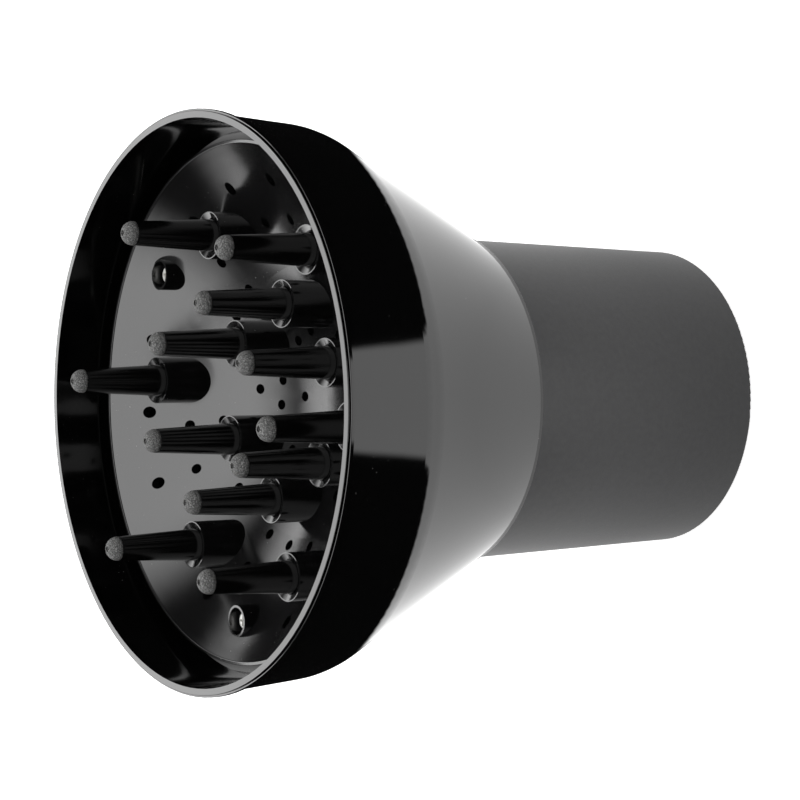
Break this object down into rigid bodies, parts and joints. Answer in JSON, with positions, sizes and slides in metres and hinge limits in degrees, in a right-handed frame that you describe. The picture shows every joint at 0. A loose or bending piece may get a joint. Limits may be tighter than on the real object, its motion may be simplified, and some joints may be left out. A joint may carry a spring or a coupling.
{
  "type": "hair dryer diffuser",
  "caption": "Round bowl diffuser with a dished vented plate, hollow fingers in sockets and a turning push-on collar for a hair dryer.",
  "frame": {"origin": "centre of the collar's open rear end", "axes": "+Z along the common axis towards the mouth, +X through the middle of one inner finger, +Y through an outer finger"},
  "size_m": [0.15, 0.15, 0.1633],
  "materials": {
    "bowl_gloss": "moulded black heat-resistant plastic, high gloss outside and in",
    "plate_gloss": "moulded black plastic, polished front",
    "collar_soft_touch": "black, fine spark-eroded matte grain",
    "liner_silicone": "soft black silicone, matte",
    "spring_steel": "oiled spring steel",
    "finger_gloss": "black, polished shaft, rough grained grey ball end",
    "screw_steel": "zinc plated steel"
  },
  "bodies": {
    "collar": {"collar_sleeve": "collar_soft_touch", "grip_liner": "liner_silicone"},
    "bowl": {"bowl_shell": "bowl_gloss", "front_plate": "plate_gloss", "neck_retaining_ring": "spring_steel", "outer_finger_1": "finger_gloss", "inner_finger_1": "finger_gloss", "outer_finger_2": "finger_gloss", "inner_finger_2": "finger_gloss", "outer_finger_3": "finger_gloss", "inner_finger_3": "finger_gloss", "outer_finger_4": "finger_gloss", "inner_finger_4": "finger_gloss", "outer_finger_5": "finger_gloss", "inner_finger_5": "finger_gloss", "outer_finger_6": "finger_gloss", "inner_finger_6": "finger_gloss", "plate_screw_1": "screw_steel", "plate_screw_2": "screw_steel", "plate_screw_3": "screw_steel"}
  },
  "joints": [
    {"name": "bowl_swivel", "type": "hinge", "parent": "collar", "child": "bowl", "pos_m": [0, 0, 0.067], "axis": [0, 0, 1], "continuous": true}
  ]
}
